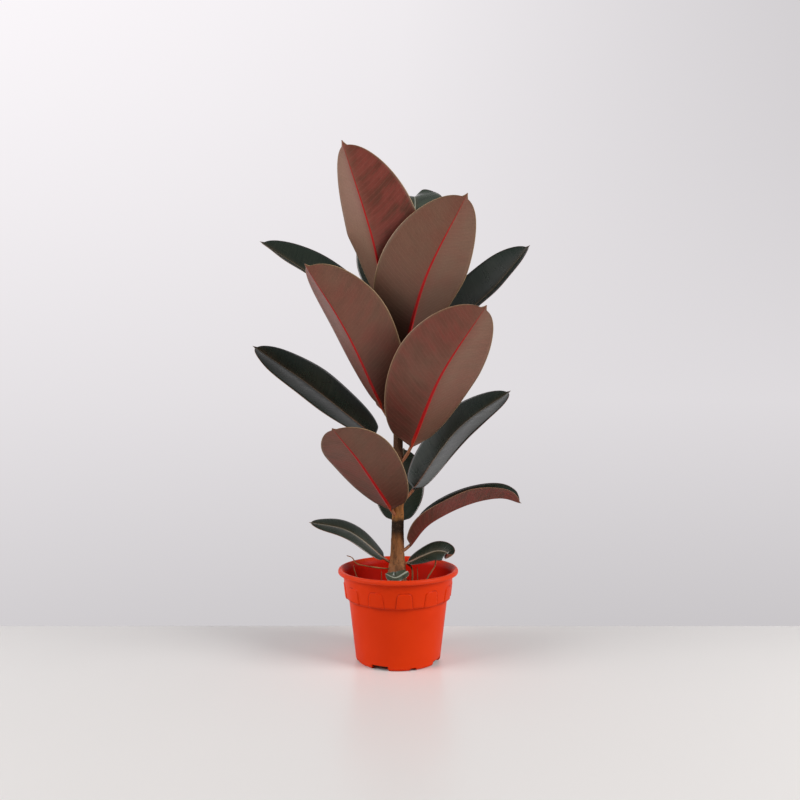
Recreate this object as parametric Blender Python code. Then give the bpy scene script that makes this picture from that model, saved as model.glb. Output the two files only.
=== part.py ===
"""Potted rubber plant: a young Ficus elastica in a red nursery pot.

Metres, +Z up. The origin is the centre of the pot's underside and the front is -Y.
Every leaf, root and twig is one closed solid, named for its place on the stem.
"""

import math

import bmesh
import bpy
from mathutils import Matrix, Vector

MM = 0.001
GAP = 0.3 * MM  # clearance between pieces that touch

# Pot
RIM_DIAMETER = 160 * MM
POT_HEIGHT = 120 * MM
BASE_DIAMETER = 112 * MM
WALL = 1.8 * MM
FLOOR = 2.4 * MM
BEAD_HEIGHT = 6 * MM
BEAD_LIP = 6 * MM  # how far the bead stands out from the collar
COLLAR_HEIGHT = 38 * MM  # from the top of the pot to the collar's lower edge
COLLAR_STEP = 4 * MM
CORNER_RADIUS = 4 * MM
POT_SEGMENTS = 72

# Raised tabs round the collar and drainage notches round the base
TAB_COUNT = 12
TAB_ANGLE = 16.0
TAB_RAISE = 1.0 * MM
TAB_HEIGHT = 17 * MM
FRONT_TAB = -83.4
NOTCH_HEIGHT = 6 * MM
NOTCH_DEPTH = 9 * MM
BIG_NOTCH_ANGLE = 26.0
SMALL_NOTCH_ANGLE = 11.0
FIRST_BIG_NOTCH = -114.7

# Soil
SOIL_DEPTH = 29 * MM  # below the top of the pot
SOIL_MOUND = 4 * MM

# Stem
STEM_HEIGHT = 470 * MM
STEM_WIDTH = 17 * MM
STEM_TOP_WIDTH = 8 * MM
STEM_FLARE_WIDTH = 26 * MM
STEM_SIDES = 20
BUD_LENGTH = 46 * MM

# Leaves
BLADE = 1.0 * MM
MARGIN = 0.6 * MM
RIB = 1.6 * MM  # how far the midrib stands out under the blade, at its base
PETIOLE = 4.4 * MM
RECURVE = 0.10  # share of the half width by which the margins bend back
SIDES = 10
PETIOLE_STEPS = 4
STATIONS = (0.02, 0.06, 0.12, 0.2, 0.3, 0.4, 0.5, 0.6, 0.7, 0.79, 0.86, 0.91, 0.945, 0.968, 0.982, 1.0)
LEAF_SCALE = 1.0

# name: height on the stem, then points along the midrib from the blade's base to its tip, where the
# upper side faces (compass angle from +X, rise), width, fold of each half, twist at the tip.
# Millimetres and degrees.
LEAVES = {
    "leaf_01_basal": (100, ((12, -18, 113), (-3, -25, 110), (-17, -24, 117)), (-90, 50), 18, 10, 0),
    "leaf_02_right": (124, ((12, -4, 127), (32, -4, 136), (51, -5, 143), (65, -8, 141), (62, -10, 133)),
                      (-110, 58), 30, 8, 30),
    "leaf_03_left": (124, ((-18, -2, 132), (-65, -6, 169), (-118, -10, 182)), (-60, 62), 40, 8, 0),
    "leaf_04_right": (138, ((15, 0, 149), (42, -4, 180), (90, -8, 205), (134, -14, 215), (162, -18, 208)),
                      (100, 84), 62, 40, 0),
    "leaf_05_back": (168, ((0, 18, 178), (2, 60, 222), (8, 96, 274)), (-90, 40), 72, 14, 0),
    "leaf_06_left": (184, ((-9, -12, 199), (-47, -68, 265), (-79, -106, 310)), (62, 33), 102, 17, 12),
    "leaf_07_right": (206, ((20, 6, 223), (82, 32, 303), (157, 46, 357)), (-142, 38), 90, 15, 0),
    "leaf_08_right": (256, ((17, -12, 282), (53, -76, 374), (106, -112, 457)), (107, 34), 131, 28, -12),
    "leaf_09_left": (272, ((-30, 10, 293), (-119, 32, 362), (-202, 40, 419)), (-44, 41), 90, 15, 0),
    "leaf_10_back": (300, ((-3, 16, 328), (-12, 50, 400), (-18, 78, 470)), (-90, 30), 84, 14, 0),
    "leaf_11_left": (308, ((-20, -12, 332), (-64, -62, 428), (-114, -92, 510)), (59, 33), 126, 40, 0),
    "leaf_12_right": (390, ((38, 12, 420), (121, 32, 488), (183, 40, 559)), (-136, 32), 94, 33, 0),
    "leaf_13_left": (404, ((-35, 14, 455), (-113, 34, 512), (-193, 44, 565)), (-42, 41), 96, 27, 0),
    "leaf_14_right": (392, ((10, -12, 414), (35, -72, 498), (84, -104, 593)), (108, 31), 130, 27, -12),
    "leaf_15_back": (436, ((11, 12, 470), (16, 27, 522), (21, 46, 573), (24, 70, 616), (24, 98, 641),
                           (22, 118, 641)), (-90, 20), 92, 14, 0),
    "leaf_16_left": (448, ((-16, -12, 471), (-32, -74, 546), (-68, -100, 658)), (58, 29), 132, 36, 8),
    "leaf_17_back": (452, ((-10, 26, 480), (-28, 52, 535), (-34, 70, 605)), (-90, 15), 62, 14, 0),
}

# Roots and twigs above the soil: points along each, its thickness, and what it grows out of.
# Millimetres.
ROOTS = {
    "root_01_left": (((0, -3, 118), (-22, -4, 120), (-42, 0, 122), (-55, 5, 124),
                      (-62, 10, 131), (-70, 15, 133)), 1.9, ("stem",)),
    "root_02_left": (((-47, -22, 80), (-52, -14, 104), (-57, -4, 114), (-60, 3, 123)), 1.5, ("soil",)),
    "root_03_front": (((-23, -12, 80), (-22, -11, 104), (-22, -10, 118)), 1.4, ("soil",)),
    "root_04_right": (((6, 2, 128), (17, 2, 121), (19, -6, 108), (14, -17, 80)), 3.0, ("stem", "soil")),
    "root_05_right": (((26, -9, 80), (26, -4, 104), (26, 4, 121)), 1.4, ("soil",)),
    "root_06_right": (((34, -26, 80), (37, -16, 105), (49, 0, 122), (52, 14, 134)), 2.4, ("soil",)),
}


def material(name, colour, roughness):
    made = bpy.data.materials.new(name)
    made.use_nodes = True
    shader = made.node_tree.nodes["Principled BSDF"]
    shader.inputs["Base Color"].default_value = (*colour, 1.0)
    shader.inputs["Roughness"].default_value = roughness
    shader.inputs["Metallic"].default_value = 0.0
    return made


def pot_plastic():
    return material("pot_plastic", (0.62, 0.05, 0.015), 0.38)


def potting_mix():
    return material("potting_mix", (0.035, 0.022, 0.014), 0.95)


def bark():
    return material("bark", (0.24, 0.12, 0.06), 0.8)


def leaf_green():
    return material("leaf_green", (0.02, 0.045, 0.035), 0.3)


def bud_red():
    return material("bud_red", (0.35, 0.03, 0.025), 0.4)


def clear_scene():
    for old in list(bpy.data.objects):
        bpy.data.objects.remove(old, do_unlink=True)


def add_object(name, bm, mat):
    bmesh.ops.recalc_face_normals(bm, faces=bm.faces)
    mesh = bpy.data.meshes.new(name)
    bm.to_mesh(mesh)
    bm.free()
    mesh.shade_smooth()
    mesh.set_sharp_from_angle(angle=math.radians(40))
    made = bpy.data.objects.new(name, mesh)
    bpy.context.collection.objects.link(made)
    if mat:
        mesh.materials.append(mat)
    return made


def loft(name, rings, mat, triangles=False):
    """One closed body through rings that all have the same number of points."""
    bm = bmesh.new()
    rows = [[bm.verts.new(point) for point in ring] for ring in rings]
    for low, high in zip(rows, rows[1:]):
        for i in range(len(low)):
            j = (i + 1) % len(low)
            bm.faces.new((low[i], low[j], high[j], high[i]))
    bm.faces.new(reversed(rows[0]))
    bm.faces.new(rows[-1])
    if triangles:
        bmesh.ops.triangulate(bm, faces=bm.faces)
    return add_object(name, bm, mat)


def turned(name, profile, segments, mat):
    """A closed profile of (radius, height) points turned about Z. Points on the axis are poles."""
    bm = bmesh.new()
    columns = []
    for radius, height in profile:
        if radius == 0:
            columns.append([bm.verts.new((0, 0, height))] * segments)
            continue
        column = []
        for i in range(segments):
            angle = 2 * math.pi * i / segments
            point = (radius * math.cos(angle), radius * math.sin(angle), height)
            column.append(bm.verts.new(point))
        columns.append(column)
    for low, high in zip(columns, columns[1:] + columns[:1]):
        if low[0] is low[1] and high[0] is high[1]:
            continue
        for i in range(segments):
            j = (i + 1) % segments
            corners = []
            for vert in (low[i], low[j], high[j], high[i]):
                if vert not in corners:
                    corners.append(vert)
            bm.faces.new(corners)
    return add_object(name, bm, mat)


def hide_cutter(cutter):
    cutter.hide_render = True
    cutter.display_type = "WIRE"


def boolean(target, other, operation):
    modifier = target.modifiers.new(operation.lower(), "BOOLEAN")
    modifier.operation = operation
    modifier.solver = "EXACT"
    modifier.object = other
    hide_cutter(other)


def curve_point(points, place):
    """The point at `place` (0 at the first point, 1 at the second...) of a smooth curve."""
    held = [2 * points[0] - points[1], *points, 2 * points[-1] - points[-2]]
    i = min(int(place), len(points) - 2)
    t = place - i
    a, b, c, d = held[i : i + 4]
    return 0.5 * (
        2 * b
        + (c - a) * t
        + (2 * a - 5 * b + 4 * c - d) * t**2
        + (3 * b - 3 * c + d - a) * t**3
    )


def tangents(path):
    ends = [path[0], *path, path[-1]]
    return [(ends[i + 2] - ends[i]).normalized() for i in range(len(path))]


# Pot ---------------------------------------------------------------------------------------


def outer_radius(height):
    """Radius of the pot's tapering outer wall, without its collar."""
    top = RIM_DIAMETER / 2 - BEAD_LIP - COLLAR_STEP
    base = BASE_DIAMETER / 2
    return base + (top - base) * height / POT_HEIGHT


def collar_radius(height):
    return outer_radius(height) + COLLAR_STEP


def inner_radius(height):
    if height > POT_HEIGHT - COLLAR_HEIGHT + 2 * WALL:
        return collar_radius(height) - WALL
    return outer_radius(height) - WALL


def wedge(name, inner, outer, low, high, middle, width, slope):
    """A block between two radii, centred on an angle, whose ends lean in by `slope` degrees.

    inner and outer hold the radius at the low and at the high end.
    """
    rings = []
    for end, (height, shrink) in enumerate(((low, 0), (high, slope))):
        half = math.radians(width / 2 - shrink)
        centre = math.radians(middle)
        ring = []
        for radius, sides in ((inner[end], (-1, 0, 1)), (outer[end], (1, 0, -1))):
            for side in sides:
                angle = centre + side * half
                ring.append(
                    Vector((radius * math.cos(angle), radius * math.sin(angle), height))
                )
        rings.append(ring)
    return loft(name, rings, None, triangles=True)


def pot_profile():
    top = POT_HEIGHT
    collar = POT_HEIGHT - COLLAR_HEIGHT
    under_bead = top - BEAD_HEIGHT
    rim = RIM_DIAMETER / 2
    corner = CORNER_RADIUS
    profile = [(0, 0)]
    for step in range(4):
        angle = math.radians(-90 + 30 * step)
        radius = outer_radius(corner) - corner + corner * math.cos(angle)
        profile.append((radius, corner + corner * math.sin(angle)))
    profile += [
        (outer_radius(collar), collar),
        (collar_radius(collar), collar + 0.6 * MM),
        (collar_radius(under_bead), under_bead),
        (rim - 1.2 * MM, under_bead),
        (rim, under_bead + 1.4 * MM),
        (rim, top - 2.2 * MM),
        (rim - 1.5 * MM, top - 0.4 * MM),
        (rim - 3.0 * MM, top),
        (rim - 4.6 * MM, top - 0.6 * MM),
        (collar_radius(under_bead) - WALL, under_bead),
        (collar_radius(collar + 2 * WALL) - WALL, collar + 2 * WALL),
        (outer_radius(collar) - WALL, collar),
        (outer_radius(FLOOR + corner) - WALL, FLOOR + corner),
        (outer_radius(FLOOR) - WALL - 2 * MM, FLOOR + 1.2 * MM),
        (outer_radius(FLOOR) - WALL - corner, FLOOR),
        (0, FLOOR),
    ]
    return profile


def add_pot():
    pot = turned("pot", pot_profile(), POT_SEGMENTS, pot_plastic())
    low = POT_HEIGHT - COLLAR_HEIGHT + 3 * MM
    high = low + TAB_HEIGHT
    for i in range(TAB_COUNT):
        tab = wedge(
            f"tab_{i + 1:02d}_cutter",
            [collar_radius(height) - WALL / 2 for height in (low, high)],
            [collar_radius(height) + TAB_RAISE for height in (low, high)],
            low,
            high,
            FRONT_TAB + 360 * i / TAB_COUNT,
            TAB_ANGLE,
            1.5,
        )
        boolean(pot, tab, "UNION")
    for i in range(8):
        big = i % 2 == 0
        width = BIG_NOTCH_ANGLE if big else SMALL_NOTCH_ANGLE
        inner = BASE_DIAMETER / 2 - (NOTCH_DEPTH if big else NOTCH_DEPTH - 3 * MM)
        notch = wedge(
            f"notch_{i + 1:02d}_cutter",
            [inner, inner],
            [BASE_DIAMETER / 2 + 5 * MM] * 2,
            -2 * MM,
            NOTCH_HEIGHT if big else NOTCH_HEIGHT * 0.6,
            FIRST_BIG_NOTCH + 45 * i,
            width,
            1.5,
        )
        boolean(pot, notch, "DIFFERENCE")
    return pot


# Stem, soil and bud ----------------------------------------------------------------------------


def stem_centre(height):
    """The stem leans a little to the left at its foot."""
    share = max(0.0, 1 - height / (0.45 * STEM_HEIGHT))
    return Vector((-3.2 * MM * share, 0, height))


def stem_radius(height):
    middle = STEM_WIDTH / 2
    base = POT_HEIGHT - 8 * MM
    if height < base + 40 * MM:
        share = min(1.0, (base + 40 * MM - height) / (40 * MM))
        return middle + (STEM_FLARE_WIDTH - STEM_WIDTH) / 2 * share**2
    share = (height - base - 40 * MM) / (STEM_HEIGHT - base - 40 * MM)
    return middle + (STEM_TOP_WIDTH / 2 - middle) * min(1.0, share) ** 0.8


def stem_rings(extra=0.0, foot=0.0, above=0.0):
    soil_top = POT_HEIGHT - SOIL_DEPTH
    heights = [soil_top - 38 * MM - foot, soil_top - 18 * MM, soil_top + 4 * MM]
    heights += [soil_top + (14 + 12 * i) * MM for i in range(5)]
    heights += [STEM_HEIGHT * share for share in (0.37, 0.43, 0.5, 0.58, 0.66, 0.75, 0.84, 0.93)]
    heights += [STEM_HEIGHT + above]
    rings = []
    for height in heights:
        radius = stem_radius(height) + extra
        centre = stem_centre(height)
        ring = []
        for i in range(STEM_SIDES):
            angle = 2 * math.pi * i / STEM_SIDES
            ring.append(centre + Vector((radius * math.cos(angle), radius * math.sin(angle), 0)))
        rings.append(ring)
    return rings


def add_stem():
    return loft("stem", stem_rings(), bark())


def add_stem_clearance():
    """The stem and its gap, which everything that grows from the stem is cut by."""
    cutter = loft("stem_clearance_cutter", stem_rings(GAP, foot=GAP, above=GAP), None)
    hide_cutter(cutter)
    return cutter


def soil_profile(extra=0.0):
    """The mounded top face, then the sides, which follow the pot's inner wall."""
    top = POT_HEIGHT - SOIL_DEPTH
    floor = FLOOR + GAP
    edge = inner_radius(top - SOIL_MOUND)
    profile = [(0, top + extra)]
    for share in (0.3, 0.55, 0.8):
        profile.append((edge * share, top - SOIL_MOUND * share**2 + extra))
    corner = CORNER_RADIUS
    collar = POT_HEIGHT - COLLAR_HEIGHT
    under = outer_radius(collar) - WALL
    slide = GAP * 1.2
    profile += [
        (edge - slide, top - SOIL_MOUND + extra),
        (collar_radius(collar + 2 * WALL) - WALL - slide, collar + 2 * WALL + GAP),
        (under - slide, collar + GAP),
        (outer_radius(FLOOR + corner) - WALL - slide, FLOOR + corner),
        (outer_radius(FLOOR) - WALL - 2 * MM - slide, FLOOR + 1.2 * MM + GAP),
        (outer_radius(FLOOR) - WALL - corner - slide, floor),
        (0, floor),
    ]
    return profile


def add_soil(stem_clearance):
    soil = turned("soil", soil_profile()[::-1], 48, potting_mix())
    boolean(soil, stem_clearance, "DIFFERENCE")
    return soil


def add_soil_clearance():
    """The soil with its gap, which the roots are cut by where they come out of it."""
    cutter = turned("soil_clearance_cutter", soil_profile(GAP)[::-1], 48, None)
    hide_cutter(cutter)
    return cutter


def add_bud():
    """The pointed sheath round the youngest leaf, standing on the stem's top."""
    start = STEM_HEIGHT + 2 * GAP
    rings = []
    for share, width in ((0, 0.8), (0.08, 1.1), (0.3, 1.15), (0.55, 0.85), (0.8, 0.45), (1, 0.08)):
        radius = STEM_TOP_WIDTH / 2 * width
        centre = stem_centre(0.9 * STEM_HEIGHT) + Vector((3 * MM * share**2, 0, 0))
        ring = []
        for i in range(12):
            angle = 2 * math.pi * i / 12
            ring.append(
                Vector(
                    (
                        centre.x + radius * math.cos(angle),
                        centre.y + radius * math.sin(angle),
                        start + BUD_LENGTH * share,
                    )
                )
            )
        rings.append(ring)
    return loft("terminal_bud", rings, bud_red())


# Leaves --------------------------------------------------------------------------------------


def facing(compass, rise):
    compass, rise = math.radians(compass), math.radians(rise)
    return Vector(
        (math.cos(compass) * math.cos(rise), math.sin(compass) * math.cos(rise), math.sin(rise))
    )


def outline(share):
    """Half width along a blade, as a share of its widest: tapered base, blunt end, short drip tip."""
    body = min(share / 0.98, 1.0)
    power = 0.47 if body < 0.5 else 0.50
    oval = math.sin(math.pi * body) ** power if body < 1 else 0.0
    point = 0.015 + 0.10 * (max(1 - share, 0.0) / 0.10) ** 1.5
    return max(oval, min(point, 0.12) * min(1.0, share * 20))


def blade_ring(centre, side, up, half, fold, blend, rib, petiole):
    """One section: a round petiole when blend is 0, and a folded thin blade when it is 1."""
    ring = []
    for k in range(SIDES):
        angle = math.pi * (0.9 - 0.2 * k)
        across = math.cos(angle) / math.cos(math.radians(18))
        edge = abs(across)
        flat = MARGIN + (BLADE - MARGIN) * (1 - edge)
        over = flat / 2 if math.sin(angle) > 0 else -flat / 2
        if edge < 0.1 and over < 0:
            over -= rib
        reach = across * half * math.cos(fold)
        rise = edge * half * math.sin(fold) - RECURVE * half * edge**2 + over
        round_x, round_y = petiole * math.cos(angle), petiole * math.sin(angle)
        ring.append(
            centre
            + side * (round_x * (1 - blend) + reach * blend)
            + up * (round_y * (1 - blend) + rise * blend)
        )
    return ring


def add_leaf(name, spec, stem_clearance):
    height, midrib, face, width, fold, twist = spec
    points = [stem_centre(height * MM)] + [Vector(p) * MM for p in midrib]
    shares = [i / PETIOLE_STEPS - 1 for i in range(PETIOLE_STEPS + 1)] + list(STATIONS)
    spans = len(midrib) - 1
    path = [curve_point(points, 1 + (s if s < 0 else s * spans)) for s in shares]
    along = tangents(path)
    small = min(1.0, width / 60)
    petiole = PETIOLE / 2 * (0.45 + 0.55 * small)
    half_width = width * MM / 2 * LEAF_SCALE
    upper = facing(*face)
    rings = []
    for centre, tangent, share in zip(path, along, shares):
        side = tangent.cross(upper).normalized()
        up = side.cross(tangent)
        if share > 0 and twist:
            turn = Matrix.Rotation(math.radians(twist) * share, 3, tangent)
            side, up = turn @ side, turn @ up
        if share <= 0:
            blend, half = 0.0, petiole
        else:
            blend = min(1.0, share / 0.06)
            half = max(half_width * outline(share), 0.5 * MM)
        rib = RIB * small * (1 - max(share, 0)) ** 0.8
        angle = math.radians(fold) * min(1.0, max(share, 0) / 0.04)
        rings.append(blade_ring(centre, side, up, half, angle, blend, rib, petiole))
    leaf = loft(name, rings, leaf_green())
    boolean(leaf, stem_clearance, "DIFFERENCE")
    return leaf


# Roots ---------------------------------------------------------------------------------------


def add_root(name, spec, stem_clearance, soil_clearance):
    points, width, cut_by = spec
    points = [Vector(p) * MM for p in points]
    steps = 2 * (len(points) - 1)
    path = [curve_point(points, i / 2) for i in range(steps + 1)]
    along = tangents(path)
    rings = []
    for i, centre in enumerate(path):
        side = along[i].cross(Vector((0.3, 1, 0.2))).normalized()
        up = side.cross(along[i])
        radius = width * MM / 2 * (1 - 0.35 * i / (len(path) - 1))
        ring = []
        for k in range(6):
            angle = 2 * math.pi * k / 6
            ring.append(centre + side * radius * math.cos(angle) + up * radius * math.sin(angle))
        rings.append(ring)
    root = loft(name, rings, bark())
    if "stem" in cut_by:
        boolean(root, stem_clearance, "DIFFERENCE")
    if "soil" in cut_by:
        boolean(root, soil_clearance, "DIFFERENCE")
    return root


def build():
    clear_scene()
    add_pot()
    add_stem()
    stem_clearance = add_stem_clearance()
    soil_clearance = add_soil_clearance()
    add_soil(stem_clearance)
    add_bud()
    for name, spec in LEAVES.items():
        add_leaf(name, spec, stem_clearance)
    for name, spec in ROOTS.items():
        add_root(name, spec, stem_clearance, soil_clearance)


build()
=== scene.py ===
"""Looks of a young potted rubber plant: broad folded leaves, bark stem, soil, plastic nursery pot."""

import math
import random

import bmesh
import bpy
import numpy as np
from mathutils import Matrix, Vector, noise


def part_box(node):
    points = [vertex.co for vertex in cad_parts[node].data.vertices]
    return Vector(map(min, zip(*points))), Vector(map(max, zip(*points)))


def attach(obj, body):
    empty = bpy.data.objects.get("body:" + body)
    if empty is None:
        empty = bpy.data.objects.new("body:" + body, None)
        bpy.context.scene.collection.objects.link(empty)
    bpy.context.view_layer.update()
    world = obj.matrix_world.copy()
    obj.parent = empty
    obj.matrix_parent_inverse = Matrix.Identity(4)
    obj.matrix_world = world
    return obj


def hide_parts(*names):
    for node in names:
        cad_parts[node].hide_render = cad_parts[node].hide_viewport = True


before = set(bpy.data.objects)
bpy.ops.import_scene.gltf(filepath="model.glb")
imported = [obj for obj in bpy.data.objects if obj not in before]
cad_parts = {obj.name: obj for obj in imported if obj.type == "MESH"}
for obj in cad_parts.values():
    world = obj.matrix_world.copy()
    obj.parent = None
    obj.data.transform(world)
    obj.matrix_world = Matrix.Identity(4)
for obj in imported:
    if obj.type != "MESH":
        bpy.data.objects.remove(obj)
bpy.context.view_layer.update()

MM = 0.001

# The design's own sizes, the same as the solid model's (metres, degrees). Heights are from the table.
RIM_DIAMETER = 160 * MM
POT_HEIGHT = 120 * MM
BASE_DIAMETER = 112 * MM
WALL = 1.8 * MM
FLOOR = 2.4 * MM
BEAD_HEIGHT = 6 * MM
BEAD_LIP = 6 * MM
COLLAR_HEIGHT = 38 * MM
COLLAR_STEP = 4 * MM
CORNER_RADIUS = 4 * MM
TAB_COUNT = 12
TAB_ANGLE = 16
TAB_RAISE = 1 * MM
TAB_HEIGHT = 17 * MM
FRONT_TAB = -83.4
TAB_CORNER = 4.5 * MM
COLLAR_BOTTOM = POT_HEIGHT - COLLAR_HEIGHT
TAB_LOW = COLLAR_BOTTOM + 0.5 * MM
TAB_HIGH = COLLAR_BOTTOM + 3 * MM + TAB_HEIGHT
NOTCH_COUNT = 8
NOTCH_HEIGHT = 6 * MM
NOTCH_DEPTH = 9 * MM
NOTCH_SLOPE = 1.5
BIG_NOTCH_ANGLE = 26
SMALL_NOTCH_ANGLE = 11
FIRST_BIG_NOTCH = -114.7
POT_SEGMENTS = 720
SOIL_DEPTH = 29 * MM
SOIL_MOUND = 4 * MM
SOIL_SEGMENTS = 150
CRUMB_COUNT = 420
STEM_HEIGHT = 470 * MM
STEM_WIDTH = 17 * MM
STEM_TOP_WIDTH = 8 * MM
STEM_FLARE_WIDTH = 26 * MM
FLARE_DROP = 8 * MM  # how far below the pot's top the flare is widest
FLARE_HEIGHT = 40 * MM
BUD_LENGTH = 46 * MM
RECURVE = 0.10  # how far the margins bend back down, as a share of the half width

# name: height on the stem, midrib points from the blade's base to its tip, where the upper side
# faces (compass angle from +X, rise), width, fold of each half, twist at the tip, and how red
# the underside is with how much redder its right half is. Millimetres and degrees.
# The right half is on the right as seen from the upper side, looking towards the tip.
LEAVES = {
    "leaf_01_basal": (100, ((12, -18, 118), (-3, -25, 112), (-17, -24, 117)), (-90, 50), 18, 10, 0, (0.3, 0)),
    "leaf_02_right": (124, ((12, -4, 127), (32, -4, 136), (51, -5, 143), (65, -8, 141), (62, -10, 133)),
                      (-110, 58), 30, 8, 30, (0.3, 0)),
    "leaf_03_left": (124, ((-18, -2, 132), (-65, -6, 169), (-118, -10, 182)), (-60, 62), 40, 8, 0, (0.3, 0)),
    "leaf_04_right": (138, ((15, 0, 149), (42, -4, 180), (90, -8, 205), (134, -14, 215), (162, -18, 208)),
                      (100, 84), 62, 40, 0, (0.85, 0)),
    "leaf_05_back": (168, ((0, 18, 178), (2, 60, 222), (8, 96, 274)), (-90, 40), 72, 14, 0, (0.4, 0)),
    "leaf_06_left": (184, ((-9, -12, 199), (-47, -68, 265), (-79, -106, 310)),
                     (62, 33), 102, 17, 12, (0.36, 0.12)),
    "leaf_07_right": (206, ((20, 6, 223), (82, 32, 303), (157, 46, 357)), (-142, 38), 90, 15, 0, (0.4, 0)),
    "leaf_08_right": (256, ((17, -12, 282), (53, -76, 374), (106, -112, 457)),
                     (107, 34), 131, 28, -12, (0.36, 0.12)),
    "leaf_09_left": (272, ((-30, 10, 293), (-119, 32, 362), (-202, 40, 419)), (-44, 41), 90, 15, 0, (0.4, 0)),
    "leaf_10_back": (300, ((-3, 16, 328), (-12, 50, 400), (-18, 78, 470)), (-90, 30), 84, 14, 0, (0.4, 0)),
    "leaf_11_left": (308, ((-20, -12, 332), (-64, -62, 428), (-114, -92, 510)),
                     (59, 33), 126, 40, 0, (0.42, 0.10)),
    "leaf_12_right": (390, ((38, 12, 420), (121, 32, 488), (183, 40, 559)), (-136, 32), 94, 33, 0, (0.4, 0)),
    "leaf_13_left": (404, ((-35, 14, 455), (-113, 34, 512), (-193, 44, 565)), (-42, 41), 96, 27, 0, (0.4, 0)),
    "leaf_14_right": (392, ((10, -12, 414), (35, -72, 498), (84, -104, 593)),
                     (108, 31), 130, 27, -12, (0.12, 0.04)),
    "leaf_15_back": (436, ((11, 12, 470), (16, 27, 522), (21, 46, 573), (24, 70, 616), (24, 98, 641),
                           (22, 118, 641)), (-90, 20), 92, 14, 0, (0.4, 0)),
    "leaf_16_left": (448, ((-16, -12, 471), (-32, -74, 546), (-68, -100, 658)),
                     (58, 29), 132, 36, 8, (0.60, -0.34)),
    "leaf_17_back": (452, ((-10, 26, 480), (-28, 52, 535), (-34, 70, 605)), (-90, 15), 62, 14, 0, (0.4, 0)),
}

# Painted shade at the blade's base below, where the leaves crowd round the stem, and how much more of it on
# the right half.
USUAL_BASE_SHADE = (0.7, 0)
BASE_SHADES = {
    "leaf_02_right": (0.2, 0),
    "leaf_06_left": (0.5, -0.3),
    "leaf_08_right": (0.45, 0),
    "leaf_11_left": (0.75, -0.6),
    "leaf_16_left": (0.65, -0.5),
}
# Painted light on one half below, the half that faces a side lamp: the right one if over 0, or else the left
# one.
LIT_HALVES = {"leaf_08_right": -0.25, "leaf_16_left": 0.5}
# How red the midrib is below, where it isn't 1.
RIB_REDS = {"leaf_04_right": 0.15}
# How pale and grey the upper side is: the paler colour of young leaves, and on leaf_15_back a painted sheen.
YOUNG_AND_SHEEN = {"leaf_01_basal": 0.7, "leaf_02_right": 0.08, "leaf_03_left": 0.10, "leaf_15_back": 0.4}
# The height of the margin's waves, where it isn't 1.
WAVES = {"leaf_01_basal": 26.0, "leaf_02_right": 2.0}
# How much higher the left margin stands, in millimetres.
LEFT_LIFTS = {"leaf_04_right": 5.0}
CURLED_LEAF = "leaf_02_right"
CURL_START = 0.80  # from here to the tip its upper faces are coloured as its underside

BLADE = 0.8 * MM  # thickness at the midrib
MARGIN = 0.4 * MM  # thickness at the margins
RIB = 1.6 * MM  # how far a large leaf's midrib stands out below, at its base
PETIOLE = 4.4 * MM
VEIN_SPACING = 5.2  # along the midrib, in millimetres
WAVE_HEIGHT = 0.55 * MM
QUILT_HEIGHT = 0.35 * MM
GROOVE_DEPTH = 0.45 * MM
OVAL_END = 0.974  # the share of the length where the oval ends and only the drip tip goes on
TIP_SHARE = 0.045
LEAST_HALF_WIDTH = 0.5 * MM
BLADE_COLUMNS = 37
STALK_ROWS = 16
UPPER, UNDER, STALK = range(3)  # the leaf materials' order

# name: points from the thick end to the thin one, and the width at the first. Millimetres.
ROOTS = {
    "root_01_left": (((0, -3, 118), (-22, -4, 120), (-42, 0, 122), (-55, 5, 124),
                      (-62, 10, 131), (-70, 15, 133)), 1.9),
    "root_02_left": (((-47, -22, 80), (-52, -14, 104), (-57, -4, 114), (-60, 3, 123)), 1.5),
    "root_03_front": (((-23, -12, 80), (-22, -11, 104), (-22, -10, 118)), 1.4),
    "root_04_right": (((6, 2, 128), (17, 2, 121), (19, -6, 108), (14, -17, 80)), 3.0),
    "root_05_right": (((26, -9, 80), (26, -4, 104), (26, 4, 121)), 1.4),
    "root_06_right": (((34, -26, 80), (37, -16, 105), (49, 0, 122), (52, 14, 134)), 2.4),
}


# Materials ---------------------------------------------------------------------------------


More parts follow.
